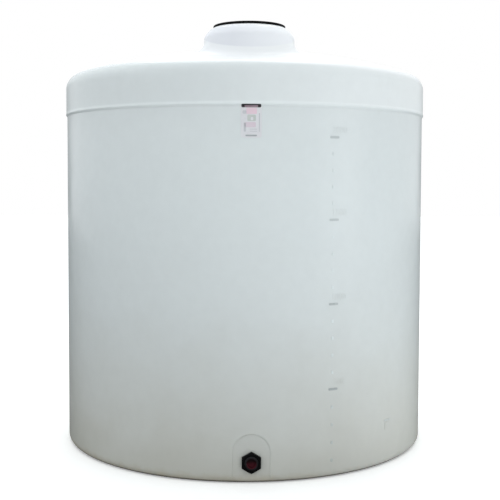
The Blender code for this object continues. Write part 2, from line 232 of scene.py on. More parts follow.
def wall_tone(tree, axes, height, flecks):
    """Colour of the wall: paler upward (painted shade at the foot), faintly mottled, paler still
    above the bead and on its crest (painted light).
    """
    # The wall darkens towards its foot: painted shade
    ramp = add(tree, "ShaderNodeMapRange", {"Value": height, "From Min": 0.15, "From Max": 2.3})
    tone = add(tree, "ShaderNodeValToRGB", {"Fac": ramp.outputs["Result"]})
    tone.color_ramp.interpolation = "B_SPLINE"
    for _ in WALL_TONES_WITH_PAINTED_SHADE[2:]:
        tone.color_ramp.elements.new(0.5)
    for element, (position, code) in zip(tone.color_ramp.elements, WALL_TONES_WITH_PAINTED_SHADE):
        element.position = position
        element.color = linear(code)
    mottle = add(tree, "ShaderNodeMapRange", {
        "Value": flecks, "From Min": 0.3, "From Max": 0.7, "To Min": 0.985, "To Max": 1.01})
    # The bead's crest is painted pale: a painted highlight
    off_crest = add(tree, "ShaderNodeMath", {0: axes["Z"], 1: BEAD_BOTTOM + 0.6 * BEAD_HEIGHT},
                    operation="SUBTRACT")
    off_crest = add(tree, "ShaderNodeMath", {0: off_crest.outputs[0]}, operation="ABSOLUTE")
    crest = add(tree, "ShaderNodeMapRange", {
        "Value": off_crest.outputs[0], "From Min": 0.020, "From Max": 0.008,
        "To Min": 1.0, "To Max": 1.09}, interpolation_type="SMOOTHSTEP")
    lift = add(tree, "ShaderNodeMath", {
        0: mottle.outputs["Result"], 1: crest.outputs["Result"]}, operation="MULTIPLY")
    # Above the bead the wall is painted paler, the more the further to the right: painted light
    band = add(tree, "ShaderNodeMapRange", {
        "Value": axes["Z"], "From Min": BEAD_BOTTOM + 0.5 * BEAD_HEIGHT,
        "From Max": BEAD_BOTTOM + BEAD_HEIGHT})
    right = add(tree, "ShaderNodeMapRange", {
        "Value": axes["X"], "From Min": -0.3, "From Max": 1.0, "To Min": 0.0, "To Max": 0.60})
    share = add(tree, "ShaderNodeMath", {
        0: band.outputs["Result"], 1: right.outputs["Result"]}, operation="MULTIPLY")
    pale = add(tree, "ShaderNodeMix", {
        "Factor": share.outputs[0], "A": tone.outputs["Color"], "B": linear(BAND_PAINTED_LIGHT_TONE)},
        data_type="RGBA")
    return add(tree, "ShaderNodeVectorMath", {0: pale.outputs["Result"], 1: lift.outputs[0]},
               operation="MULTIPLY").outputs[0]


def roof_tone(tree, place, axes, wall):
    """The wall's colour, and above it the painted light of the roof and the tones of the neck.

    Painted light: the roof, the foot of the neck and the collar are painted pale, paler to the
    right.
    The shoulder, the neck and the ledge keep a greyer tone, painted shade, down to the collar.
    """
    centre = add(tree, "ShaderNodeVectorMath", {0: place, 1: (0.0, 0.0, CROWN_CENTRE)},
                 operation="SUBTRACT")
    reach = add(tree, "ShaderNodeVectorMath", {0: centre.outputs[0]}, operation="LENGTH")
    above = add(tree, "ShaderNodeMath", {0: reach.outputs["Value"], 1: CROWN_RADIUS},
                operation="SUBTRACT")
    # The roof is painted pale above the shoulder as painted light, from lower down to the right than
    # to the left
    aslant = add(tree, "ShaderNodeMath", {0: axes["X"], 1: PAINTED_LIGHT_START_TILT, 2: axes["Z"]},
                 operation="MULTIPLY_ADD")
    from_edge = add(tree, "ShaderNodeMapRange", {
        "Value": aslant.outputs[0], "From Min": SHOULDER_START + PAINTED_LIGHT_START[0],
        "From Max": SHOULDER_START + PAINTED_LIGHT_START[1]},
        interpolation_type="SMOOTHSTEP").outputs["Result"]
    # The neck's greyer tone, painted shade, reaches further down in front and behind than at the
    # sides; below it the foot is painted pale
    fore = add(tree, "ShaderNodeMath", {0: axes["Y"], 1: MANWAY_OFFSET}, operation="ADD")
    fore = add(tree, "ShaderNodeMath", {0: fore.outputs[0]}, operation="ABSOLUTE")
    tilted = add(tree, "ShaderNodeMath", {
        0: fore.outputs[0], 1: PAINTED_LIGHT_END_TILT, 2: above.outputs[0]}, operation="MULTIPLY_ADD")
    to_neck = add(tree, "ShaderNodeMapRange", {
        "Value": tilted.outputs[0], "From Min": PAINTED_LIGHT_END[0], "From Max": PAINTED_LIGHT_END[1]},
        interpolation_type="SMOOTHSTEP").outputs["Result"]
    lip = add(tree, "ShaderNodeMapRange", {
        "Value": axes["Z"], "From Min": LEDGE, "From Max": LEDGE + 0.001})
    roof = add(tree, "ShaderNodeMath", {0: from_edge, 1: to_neck}, operation="MULTIPLY")
    # Painted light: the roof is painted paler to the right than to the left
    painted_light_right = add(tree, "ShaderNodeMapRange", {
        "Value": axes["X"], "From Min": -0.3, "From Max": 0.3, "To Min": 0.55, "To Max": 0.90})
    roof = add(tree, "ShaderNodeMath", {0: roof.outputs[0], 1: painted_light_right.outputs["Result"]},
               operation="MULTIPLY")
    painted_light = add(tree, "ShaderNodeMath", {0: roof.outputs[0], 1: lip.outputs["Result"]},
               operation="MAXIMUM")
    # The neck's right side is painted paler than its left: painted light from the right
    beyond = add(tree, "ShaderNodeMapRange", {
        "Value": axes["X"], "From Min": -0.10, "From Max": 0.18})
    neck_with_painted_light = add(tree, "ShaderNodeMix", {
        "Factor": beyond.outputs["Result"], "A": linear(NECK_TONE),
        "B": linear(NECK_PAINTED_LIGHT_TONE)}, data_type="RGBA")
    neck = add(tree, "ShaderNodeMix", {
        "Factor": from_edge, "A": wall, "B": neck_with_painted_light.outputs["Result"]}, data_type="RGBA")
    return add(tree, "ShaderNodeMix", {
        "Factor": painted_light.outputs[0], "A": neck.outputs["Result"], "B": linear(PAINTED_LIGHT_TONE)},
        data_type="RGBA").outputs["Result"]


def soiled_and_shaded_foot(tree, axes, height, flecks, colour):
    """The colour with dust splashed up, soil dried on in patches, and a dark line at the ground.

    Dust and soil are thickest on the left. The dark line goes all round: damp dirt, and painted
    contact shade where the wall meets the ground.
    """
    leftward = add(tree, "ShaderNodeMapRange", {
        "Value": axes["X"], "From Min": 0.0, "From Max": 0.7, "To Min": 1.0, "To Max": 0.05})
    patchy = add(tree, "ShaderNodeMath", {0: flecks, 1: 0.06, 2: axes["Z"]},
                 operation="MULTIPLY_ADD")
    # The dark line at the ground is partly painted contact shade
    layers = ((height, DUST, True), (patchy.outputs[0], SOIL, True), (axes["Z"], DAMP_AND_CONTACT_SHADE, False))
    for level, (start, end, share, code), fades in layers:
        amount = add(tree, "ShaderNodeMapRange", {
            "Value": level, "From Min": start, "From Max": end,
            "To Min": 0.0, "To Max": share}).outputs["Result"]
        if fades:
            amount = add(tree, "ShaderNodeMath", {
                0: amount, 1: leftward.outputs["Result"]}, operation="MULTIPLY").outputs[0]
        colour = add(tree, "ShaderNodeMix", {
            "Factor": amount, "A": colour, "B": linear(code)}, data_type="RGBA").outputs["Result"]
    return colour


def natural_polyethylene(name, see_through, depth):
    """Rotomoulded natural polyethylene: milky, satin, a little uneven where the powder fused.

    see_through is the share of the light that goes into the plastic, depth how far it gets. It
    softens the shades and lets daylight show on the faces inside.
    """
    made, tree, shader = new_material(
        name, 0.26, IOR=1.51, Subsurface_Weight=see_through, Subsurface_Scale=depth)
    shader.inputs["Subsurface Radius"].default_value = (1.0, 1.0, 1.1)
    place = add(tree, "ShaderNodeTexCoord").outputs["Object"]
    axes = add(tree, "ShaderNodeSeparateXYZ", {"Vector": place}).outputs
    # Powder clouds 0.3 m across, and finer ones 60 mm across
    clouds = add(tree, "ShaderNodeTexNoise", {
        "Vector": place, "Scale": 3.2, "Detail": 4.0, "Roughness": 0.5})
    flecks = add(tree, "ShaderNodeTexNoise", {
        "Vector": place, "Scale": 16.0, "Detail": 3.0, "Roughness": 0.6}).outputs["Fac"]
    height = add(tree, "ShaderNodeMath", {0: clouds.outputs["Fac"], 1: 0.30, 2: axes["Z"]},
                 operation="MULTIPLY_ADD").outputs[0]
    clean = roof_tone(tree, place, axes, wall_tone(tree, axes, height, flecks))
    tree.links.new(soiled_and_shaded_foot(tree, axes, height, flecks, clean), shader.inputs["Base Color"])
    # Mould texture, drawn 3 mm across so that it shows, and waves 0.25 m across from cooling
    grain = add(tree, "ShaderNodeTexNoise", {"Vector": place, "Scale": 320.0, "Detail": 2.0})
    waves = add(tree, "ShaderNodeTexNoise", {"Vector": place, "Scale": 4.0, "Detail": 1.0})
    fine = add(tree, "ShaderNodeBump", {
        "Height": grain.outputs["Fac"], "Strength": 0.25, "Distance": 0.0004})
    rolling = add(tree, "ShaderNodeBump", {
        "Height": waves.outputs["Fac"], "Strength": 0.4, "Distance": 0.012,
        "Normal": fine.outputs["Normal"]})
    tree.links.new(rolling.outputs["Normal"], shader.inputs["Normal"])
    return made


def finish_plastic(tree, shader, place, amount, low, high, grain_size):
    """Ends a moulded plastic: two tones mixed by amount, and a grain drawn coarse enough to show."""
    mix = add(tree, "ShaderNodeMix", {"Factor": amount, "A": linear(low), "B": linear(high)},
              data_type="RGBA")
    tree.links.new(mix.outputs["Result"], shader.inputs["Base Color"])
    grain = add(tree, "ShaderNodeTexNoise", {
        "Vector": place, "Scale": 1 / grain_size, "Detail": 2.0})
    bump = add(tree, "ShaderNodeBump", {
        "Height": grain.outputs["Fac"], "Strength": 0.3, "Distance": 0.0003})
    tree.links.new(bump.outputs["Normal"], shader.inputs["Normal"])


def moulded_plastic(name, code, worn, roughness, grain_size, shine=0.5):
    """Moulded plastic, rubber or vinyl: dull, with a fine even grain, in patches of two tones."""
    made, tree, shader = new_material(name, roughness, IOR=1.49, Specular_IOR_Level=shine)
    place = add(tree, "ShaderNodeTexCoord").outputs["Object"]
    dust = add(tree, "ShaderNodeTexNoise", {
        "Vector": place, "Scale": 14.0, "Detail": 5.0, "Roughness": 0.65})
    amount = add(tree, "ShaderNodeMapRange", {
        "Value": dust.outputs["Fac"], "From Min": 0.45, "From Max": 0.75})
    finish_plastic(tree, shader, place, amount.outputs["Result"], code, worn, grain_size)
    return made


def plug_with_painted_shade():
    """Dark red plastic of the plug, painted near black on its upper half: painted shadow under the
    barrel's rim.
    """
    made, tree, shader = new_material(
        "dark_red_plastic_painted_shade_above", 0.5, IOR=1.49, Specular_IOR_Level=0.12)
    place = add(tree, "ShaderNodeTexCoord").outputs["Object"]
    height = add(tree, "ShaderNodeSeparateXYZ", {"Vector": place}).outputs["Z"]
    blotches = add(tree, "ShaderNodeTexNoise", {"Vector": place, "Scale": 70.0, "Detail": 3.0})
    uneven = add(tree, "ShaderNodeMath", {0: blotches.outputs["Fac"], 1: 0.012, 2: height},
                 operation="MULTIPLY_ADD")
    # The upper half is painted near black: painted shadow
    painted_shade = add(tree, "ShaderNodeMapRange", {
        "Value": uneven.outputs[0], "From Min": OUTLET_HEIGHT - 0.002,
        "From Max": OUTLET_HEIGHT + 0.016, "To Min": 0.0, "To Max": 0.85})
    finish_plastic(tree, shader, place, painted_shade.outputs["Result"], "#46141D", "#0E0708", 0.00125)
    return made


def patchy_mark(name, low, high, fades_by):
    """Mark on the wall: darker in patches, and paler the higher it stands, in step with the wall's
    painted shade.
    """
    made, tree, shader = new_material(name, 0.6, IOR=1.49)
    place = add(tree, "ShaderNodeTexCoord").outputs["Object"]
    height = add(tree, "ShaderNodeSeparateXYZ", {"Vector": place}).outputs["Z"]
    patches = add(tree, "ShaderNodeTexNoise", {"Vector": place, "Scale": 55.0, "Detail": 3.0})
    uneven = add(tree, "ShaderNodeMath", {0: height, 1: 1 / fades_by, 2: patches.outputs["Fac"]},
                 operation="MULTIPLY_ADD")
    amount = add(tree, "ShaderNodeMapRange", {
        "Value": uneven.outputs[0], "From Min": 0.6, "From Max": 1.6})
    finish_plastic(tree, shader, place, amount.outputs["Result"], low, high, 0.003125)
    return made


def keep_faces(name, bm, materials):
    """Writes a closed bmesh to a smooth object with its edges sharp where they turn hard."""
    bmesh.ops.recalc_face_normals(bm, faces=bm.faces)
    mesh = bpy.data.meshes.new(name)
    bm.to_mesh(mesh)
    bm.free()
    mesh.shade_smooth()
    mesh.set_sharp_from_angle(angle=math.radians(38))
    obj = bpy.data.objects.new(name, mesh)
    bpy.context.scene.collection.objects.link(obj)
    for made in materials:
        mesh.materials.append(made)
    return obj


def finish_mesh(obj):
    """Puts the result of the object's modifiers in its mesh and drops them."""
    bpy.context.view_layer.update()
    depsgraph = bpy.context.evaluated_depsgraph_get()
    done = bpy.data.meshes.new_from_object(obj.evaluated_get(depsgraph))
    done.name = obj.name
    obj.modifiers.clear()
    obj.data = done
    return obj


def skin(bm, loops, wrap=False):
    """Joins loops of points with faces. A loop of one point is a pole. wrap joins last to first."""
    rows = [[bm.verts.new(p) for p in loop] for loop in loops]
    pairs = list(zip(rows, rows[1:])) + ([(rows[-1], rows[0])] if wrap else [])
    for low, high in pairs:
        count = max(len(low), len(high))
        for i in range(count):
            j = (i + 1) % count
            corners = [low[i % len(low)], low[j % len(low)],
                       high[j % len(high)], high[i % len(high)]]
            bm.faces.new(list(dict.fromkeys(corners)))


def rounded(corners):
    """A line through corners (r, z, radius), with each corner that has a radius rounded off."""
    steps = 4
    line = []
    for i, (r, z, radius) in enumerate(corners):
        if not radius:
            line.append((r, z))
            continue
        here = Vector((r, z))
        back = Vector(corners[i - 1][:2]) - here
        on = Vector(corners[(i + 1) % len(corners)][:2]) - here
        reach = min(radius, back.length * 0.49, on.length * 0.49)
        start = here + back.normalized() * reach
        end = here + on.normalized() * reach
        for k in range(steps + 1):
            t = k / steps
            line.append(tuple(start * (1 - t) ** 2 + here * (2 * t * (1 - t)) + end * t ** 2))
    return line


def turned(line, count=96, centre=(0, 0)):
    """Loops of a line (r, z) turned about an upright axis. Points on the axis become poles."""
    angles = [2 * math.pi * i / count for i in range(count)]
    x, y = centre
    loops = []
    for r, z in line:
        if r < 1e-6:
            loops.append([(x, y, z)])
        else:
            loops.append([(x + r * math.cos(a), y + r * math.sin(a), z) for a in angles])
    return loops


def along_outlet(loops):
    """Loops made about an upright axis, laid down so that +Z becomes the way out of the outlet."""
    return [[(x, -z, OUTLET_HEIGHT + y) for x, y, z in loop] for loop in loops]


def crown_height(x, y):
    """Height of the crown's outer face at a point."""
    return CROWN_CENTRE + math.sqrt(CROWN_RADIUS ** 2 - x * x - y * y)


def wall_radius(z):
    """Outer radius of the wall at a height, with the bead and the step to the band above it."""
    share = min(max((z - BEAD_BOTTOM) / BEAD_HEIGHT, 0), 1)
    rise = BEAD_PROUD * (1 - math.cos(2 * math.pi * share)) / 2
    return BODY_RADIUS + (BAND_RADIUS - BODY_RADIUS) * share * share * (3 - 2 * share) + rise


def arch_distance(x, z):
    """Distance from the edge of the arched flat, negative inside it."""
    top = z - (FLAT_TOP - FLAT_HALF_WIDTH)
    return (math.hypot(x, top) if top > 0 else abs(x)) - FLAT_HALF_WIDTH


def shell_columns():
    """Angles from the front: close together across the pressed flat, wide elsewhere."""
    dense = math.radians(6.6)
    front = list(np.linspace(-dense, dense, 89))
    rest = list(np.linspace(dense, 2 * math.pi - dense, 174))[1:-1]
    return front + rest


def wall_loop(columns, radius, z, inset):
    """One loop of the wall. inset is 0 on the outside and the wall's thickness on the inside."""
    # Half the width of the flat's rounded edge
    edge = 0.0035
    loop = []
    for a in columns:
        x = radius * math.sin(a)
        depth = radius * math.cos(a)
        flat = FLAT_FACE - inset
        if depth > flat and z < FLAT_TOP + 0.05:
            share = min(max((edge - arch_distance(x, z) + inset) / (2 * edge), 0), 1)
            depth -= (depth - flat) * share * share * (3 - 2 * share)
        loop.append((x, -depth, z))
    return loop


def wall_rows(inset):
    """Radii and heights up the wall, from the base's knuckle to the top of the shoulder."""
    fine, knuckle, bead, shoulder = (0.012, 5, 7, 6) if inset else (0.004, 10, 14, 12)
    flat_end = FLAT_TOP + 0.02
    rows = []
    for i in range(knuckle + 1):
        a = -math.pi / 2 + math.pi / 2 * i / knuckle
        reach = KNUCKLE_RADIUS - inset
        rows.append((BODY_RADIUS - KNUCKLE_RADIUS + reach * math.cos(a),
                     KNUCKLE_RADIUS + reach * math.sin(a)))
    count = round((flat_end - KNUCKLE_RADIUS) / fine)
    rows += [(BODY_RADIUS - inset, z) for z in np.linspace(KNUCKLE_RADIUS, flat_end, count)[1:]]
    rows += [(BODY_RADIUS - inset, z) for z in np.linspace(flat_end, BEAD_BOTTOM, 12)[1:-1]]
    for i in range(bead + 1):
        z = BEAD_BOTTOM + BEAD_HEIGHT * i / bead
        rows.append((wall_radius(z) - inset, z))
    band = np.linspace(BEAD_BOTTOM + BEAD_HEIGHT, SHOULDER_START, 5)[1:-1]
    rows += [(BAND_RADIUS - inset, z) for z in band]
    for i in range(shoulder + 1):
        a = SHOULDER_END * i / shoulder
        reach = SHOULDER_RADIUS - inset
        rows.append((SHOULDER_CENTRE + reach * math.cos(a), SHOULDER_START + reach * math.sin(a)))
    return rows


def crown_loops(columns, inset, count):
    """Loops over the crown that shrink from the shoulder's circle to the foot of the neck."""
    loops = []
    start = CROWN_RADIUS * math.cos(SHOULDER_END)
    for i in range(1, count + 1):
        t = i / count
        radius = start + (NECK_RADIUS + NECK_FILLET - start) * t
        shift = -MANWAY_OFFSET * t
        loop = []
        for a in columns:
            x = radius * math.sin(a)
            y = shift - radius * math.cos(a)
            loop.append((x, y, crown_height(x, y) - inset))
        loops.append(loop)
    return loops


def neck_foot_loops(columns, inset, count):
    """Loops of the flared foot, which leaves the crown at its own slope and ends upright."""
    foot_radius = NECK_RADIUS + NECK_FILLET
    wall_rise = 0.004
    pull = 0.55
    loops = [[] for _ in range(count)]
    for a in columns:
        out = Vector((math.sin(a), -math.cos(a)))
        ends = [out * radius + Vector((0, -MANWAY_OFFSET)) for radius in (foot_radius, NECK_RADIUS)]
        foot, base = [crown_height(*p) for p in ends]
        top = min(base + NECK_FILLET, NECK_ROUND_START - wall_rise)
        slope = (base - foot) / NECK_FILLET
        start = Vector((foot_radius, foot - inset))
        end = Vector((NECK_RADIUS - inset, top))
        handle = pull * (start.x - end.x)
        first = start + Vector((-handle, handle * slope))
        second = end - Vector((0, pull * (top - first.y)))
        for k in range(count):
            t = (k + 1) / count
            p = (start * (1 - t) ** 3 + first * (3 * t * (1 - t) ** 2)
                 + second * (3 * t * t * (1 - t)) + end * t ** 3)
            loops[k].append((out.x * p.x, out.y * p.x - MANWAY_OFFSET, p.y))
    return loops


def neck_line():
    """Line (r, z) from the neck's upright wall over its top and the collar, and back inside it."""
    steps = 8
    line = []
    for i in range(steps + 1):
        a = NECK_CONE_ANGLE * i / steps
        line.append((NECK_RADIUS - NECK_ROUND * (1 - math.cos(a)),
                     NECK_ROUND_START + NECK_ROUND * math.sin(a)))
    r, z = line[-1]
    cone_top = r - (NECK_CONE_TOP - z) * math.tan(NECK_CONE_ANGLE)
    inside = COLLAR_BORE + WALL
    deep = COLLAR_TOP - COLLAR_DEPTH
    corners = [
        (r, z, 0),
        (cone_top, NECK_CONE_TOP, 0.009),
        (COLLAR_RADIUS, LEDGE, 0.003),
        (COLLAR_RADIUS, COLLAR_TOP, 0.002),
        (COLLAR_BORE, COLLAR_TOP, 0.002),
        (COLLAR_BORE, deep, 0.002),
        (inside, deep, 0.002),
        (inside, LEDGE - WALL, 0.004),
        (cone_top - WALL * 0.7, NECK_CONE_TOP - WALL, 0.006),
        (r - WALL * 0.8, z - WALL * 0.5, 0.006),
        (NECK_RADIUS - WALL, NECK_ROUND_START, 0),
    ]
    return line + rounded(corners)[1:]


def make_shell(made, inside):
    """The whole moulding as one closed body: outside up, over the collar's lip, and inside down.

    Its faces outside and in the neck have the first material, those inside the second.
    """
    columns = shell_columns()
    bm = bmesh.new()
    loops = [[(0, 0, 0)]]
    loops += [wall_loop(columns, r, z, 0) for r, z in wall_rows(0)]
    loops += crown_loops(columns, 0, 22)
    loops += neck_foot_loops(columns, 0, 10)
    for r, z in neck_line():
        loops.append([(r * math.sin(a), -r * math.cos(a) - MANWAY_OFFSET, z) for a in columns])
    outer_faces = len(loops) * len(columns)
    inner = [[(0, 0, FLOOR)]]
    inner += [wall_loop(columns, r, z, WALL) for r, z in wall_rows(WALL)]
    inner += crown_loops(columns, WALL, 12)
    inner += neck_foot_loops(columns, WALL, 5)
    skin(bm, loops + inner[::-1])
    for number, face in enumerate(bm.faces):
        face.material_index = 0 if number < outer_faces else 1
    shell = keep_faces("tank_shell", bm, [made, inside])
    # The outlet's barrel goes through a hole in the pressed flat
    bm = bmesh.new()
    hole = BARREL_RADIUS + CLEAR
    back, front = 1.10, 1.15
    skin(bm, along_outlet(turned([(0, back), (hole, back), (hole, front), (0, front)], 64)))
    cutter = keep_faces("outlet_hole", bm, [])
    cut = shell.modifiers.new("outlet_hole", "BOOLEAN")
    cut.object = cutter
    cut.operation = "DIFFERENCE"
    finish_mesh(shell)
    bpy.data.objects.remove(cutter)
    return shell


def new_tree(name, **inputs):
    """Geometry nodes with a mesh in and out and the named inputs, each with its kind."""
    tree = bpy.data.node_groups.new(name, "GeometryNodeTree")
    for key, kind in {"Geometry": "Geometry", **inputs}.items():
        tree.interface.new_socket(key, in_out="INPUT", socket_type="NodeSocket" + kind)
    tree.interface.new_socket("Geometry", in_out="OUTPUT", socket_type="NodeSocketGeometry")
    return tree, add(tree, "NodeGroupInput").outputs


def close_tree(tree, geometry, made):
    """Ends the tree: its instances made real, in their finished material."""
    real = add(tree, "GeometryNodeRealizeInstances", {"Geometry": geometry})
    finished = add(tree, "GeometryNodeSetMaterial", {
        "Geometry": real.outputs[0], "Material": made})
    add(tree, "NodeGroupOutput", {0: finished.outputs[0]})
    return tree


def run_tree(obj, tree, **values):
    """Runs the tree on an object and keeps the result as its plain mesh."""
    modifier = obj.modifiers.new(tree.name, "NODES")
    modifier.node_group = tree
    items = tree.interface.items_tree
    sockets = {item.name: item.identifier for item in items if item.in_out == "INPUT"}
    for name, value in values.items():
        modifier[sockets[name]] = value
    return finish_mesh(obj)


def repeat_tree(name, made, kind):
    """Geometry nodes that repeat the object's own mesh, up a line or round a circle."""
    tree, inputs = new_tree(name, Count="Int", Step="Float")
    offset = turn = (0.0, 0.0, 0.0)
    if kind == "up":
        offset = add(tree, "ShaderNodeCombineXYZ", {"Z": inputs["Step"]}).outputs[0]
    else:
        index = add(tree, "GeometryNodeInputIndex").outputs[0]
        angle = add(tree, "ShaderNodeMath", {0: index, 1: inputs["Step"]}, operation="MULTIPLY")
        turn = add(tree, "ShaderNodeCombineXYZ", {"Z": angle.outputs[0]}).outputs[0]
    points = add(tree, "GeometryNodeMeshLine", {"Count": inputs["Count"], "Offset": offset})
    copies = add(tree, "GeometryNodeInstanceOnPoints", {
        "Points": points.outputs[0], "Instance": inputs["Geometry"], "Rotation": turn})
    return close_tree(tree, copies.outputs[0], made)


def slab(bm, angle, x, z, size, near, far, corner=0.0, columns=8, rows=1, slot=0):
    """A thin plate (x and z of its middle, its width and height) that follows the round wall.

    near and far are how far its back and its front stand off the wall, corner is the radius of
    its rounded corners, and slot is its material.
    """
    half_x = size[0] / 2
    half_z = size[1] / 2
    offsets = list(np.linspace(-half_x, half_x, columns + 1))
    if corner:
        ends = [half_x - corner * (1 - math.cos(math.pi / 2 * k / 4)) for k in range(5)]
        every = [-e for e in ends] + ends + offsets
        offsets = sorted(set([round(v, 7) for v in every if abs(v) <= half_x]))
    loops = []
    for offset in offsets:
        cut = 0.0
        past = abs(offset) - (half_x - corner)
        if corner and past > 0:
            cut = corner - math.sqrt(max(corner ** 2 - past ** 2, 0)) * 0.98
        a = angle + (x + offset) / BODY_RADIUS
        heights = list(np.linspace(z - half_z + cut, z + half_z - cut, rows + 1))
        line = [(wall_radius(h) + far, h) for h in heights]
        line += [(wall_radius(h) + near, h) for h in reversed(heights)]
        loops.append([bm.verts.new((r * math.sin(a), -r * math.cos(a), h)) for r, h in line])
    for low, high in zip(loops, loops[1:]):
        for i in range(len(low)):
            j = (i + 1) % len(low)
            bm.faces.new((low[i], low[j], high[j], high[i])).material_index = slot
    for end in (loops[0], loops[-1]):
        bm.faces.new(end).material_index = slot


def make_marks(dark, faded, shell_plastic):
    """Volume marks moulded up the wall: a long one at each 500 gallons and short ones between.

    The marks are darker, the numbers are left in the wall's own colour.
    """
    tree = repeat_tree("short_marks_up_the_wall", faded, "up")
    bm = bmesh.new()
    for height in MARK_HEIGHTS[1:]:
        slab(bm, MARK_ANGLE, MARK_SHIFT, height, LONG_MARK, *RELIEF, 0.005)
    pieces = [keep_faces("long_volume_marks", bm, [dark])]
    for number, (low, high) in enumerate(zip(MARK_HEIGHTS, MARK_HEIGHTS[1:]), 1):
        step = (high - low) / (SHORT_MARKS + 1)
        bm = bmesh.new()
        slab(bm, MARK_ANGLE, 0, low + step, SHORT_MARK, *RELIEF, 0.003)
        marks = keep_faces(f"short_volume_marks_{number}", bm, [faded])
        pieces.append(run_tree(marks, tree, Count=SHORT_MARKS, Step=step))
        volume = str(MARK_GALLONS * number)
        pieces.append(wall_number(volume, high + NUMBER_RISE, shell_plastic))
    bm = bmesh.new()
    slab(bm, PAD_ANGLE, 0, PAD_MIDDLE, PAD_SIZE, *RELIEF, 0.004)
    # The dark line over the pad is a raised strip in the marks' dark tone: a painted shadow
    slab(bm, PAD_ANGLE, 0, PAD_SHADOW_LINE, PAD_SHADOW_LINE_SIZE, *RELIEF, 0.003, slot=1)
    pieces.append(keep_faces("blank_moulded_pad", bm, [shell_plastic, faded]))
    return pieces


def wall_number(text, z, made):
    """A plain number raised on the wall beside its mark, its foot at height z."""
    words = bpy.data.curves.new("volume_" + text, "FONT")
    words.body = text
    words.size = NUMBER_SIZE
    words.extrude = NUMBER_RELIEF
    words.align_x = "CENTER"
    words.align_y = "BOTTOM"
    words.resolution_u = 3
    carrier = bpy.data.objects.new(words.name, words)
    bpy.context.scene.collection.objects.link(carrier)
    bpy.context.view_layer.update()
    mesh = bpy.data.meshes.new_from_object(carrier)
    bpy.data.objects.remove(carrier)
    for vertex in mesh.vertices:
        px, py, pz = vertex.co
        a = MARK_ANGLE + (NUMBER_SHIFT + px) / BODY_RADIUS
        radius = BODY_RADIUS + pz
        vertex.co = (radius * math.sin(a), -radius * math.cos(a), z + py)
    bm = bmesh.new()
    bm.from_mesh(mesh)
    bmesh.ops.remove_doubles(bm, verts=bm.verts, dist=1e-6)
    bpy.data.meshes.remove(mesh)
    return keep_faces("volume_number_" + text, bm, [made])


def make_label(vinyl, inks):
    """Blank-form label: a pale sheet with a dark bar, faded fields and empty lines, no words.

    Its upper edge laps over the bead. Each field is its middle (across, down from the label's
    top), its size (across, up) and the number of its ink.
    """
    bm = bmesh.new()
    middle = LABEL_TOP - LABEL_HEIGHT / 2
    slab(bm, 0, LABEL_MIDDLE, middle, (LABEL_WIDTH, LABEL_HEIGHT), CLEAR, LABEL_FACE,
         0.010, 10, 72)
    fields = (
        (0.000, 0.0100, 0.106, 0.0180, 1),
        (0.002, 0.0370, 0.058, 0.0340, 2),
        (-0.036, 0.0440, 0.022, 0.0180, 4),
        (0.002, 0.0750, 0.046, 0.0340, 3),
        (-0.006, 0.1110, 0.062, 0.0280, 5),
        (-0.034, 0.1240, 0.012, 0.0500, 4),
        (0.044, 0.0990, 0.006, 0.1000, 4),
        (0.012, 0.1350, 0.040, 0.0040, 4),
        (0.012, 0.1460, 0.040, 0.0040, 4),
        (0.000, 0.1690, 0.062, 0.0085, 6),
    )
    for x, drop, across, up, ink in fields:
        slab(bm, 0, LABEL_MIDDLE + x, LABEL_TOP - drop, (across, up), LABEL_FACE - 0.0002,
             LABEL_FACE + 0.0002, min(0.006, up / 2.2, across / 2.2), 8, 12, ink)
    # A round spot of bare sheet on the grey-green field, and a worn line in the dark bar
    slab(bm, 0, LABEL_MIDDLE + 0.004, LABEL_TOP - 0.079, (0.014, 0.018), LABEL_FACE,
         LABEL_FACE + 0.0003, 0.006, 4)
    slab(bm, 0, LABEL_MIDDLE, LABEL_TOP - 0.013, (0.072, 0.0110), LABEL_FACE,
         LABEL_FACE + 0.0003, 0.002, 8, 8, 7)
    return keep_faces("label_sheet", bm, [vinyl] + inks)


def hex_radius(angle):
    """Distance from the nut's middle to its flat side, with the corners up and down."""
    turn = (angle - math.pi / 2) % (math.pi / 3) - math.pi / 6
    return NUT_ACROSS_FLATS / 2 / math.cos(turn)


def make_nut(made):
    """Bulkhead nut: hexagon with turned-off corners, a raised face ring and a bored middle."""
    count = 144
    angles = [2 * math.pi * i / count for i in range(count)]
    bore = BARREL_RADIUS + CLEAR
    ring = 0.0012
    corner = NUT_ACROSS_FLATS / 2 * 1.105
    rows = [
        (bore, NUT_BACK, None),
        (None, NUT_BACK, corner * 2),
        (None, NUT_FACE - 0.006, corner * 2),
        (None, NUT_FACE - 0.0035, corner),
        (None, NUT_FACE - 0.0020, corner - 0.003),
        (NUT_ACROSS_FLATS / 2 - 0.003, NUT_FACE - ring, None),
        (0.047, NUT_FACE - ring, None),
        (0.0465, NUT_FACE, None),
        (bore + ring, NUT_FACE, None),
        (bore, NUT_FACE - ring, None),
    ]
    loops = []
    for r, depth, limit in rows:
        radii = [r if r else min(hex_radius(a), limit) for a in angles]
        loops.append([(q * math.cos(a), q * math.sin(a), depth) for q, a in zip(radii, angles)])
    bm = bmesh.new()
    skin(bm, along_outlet(loops), wrap=True)
    return keep_faces("outlet_hex_nut", bm, [made])


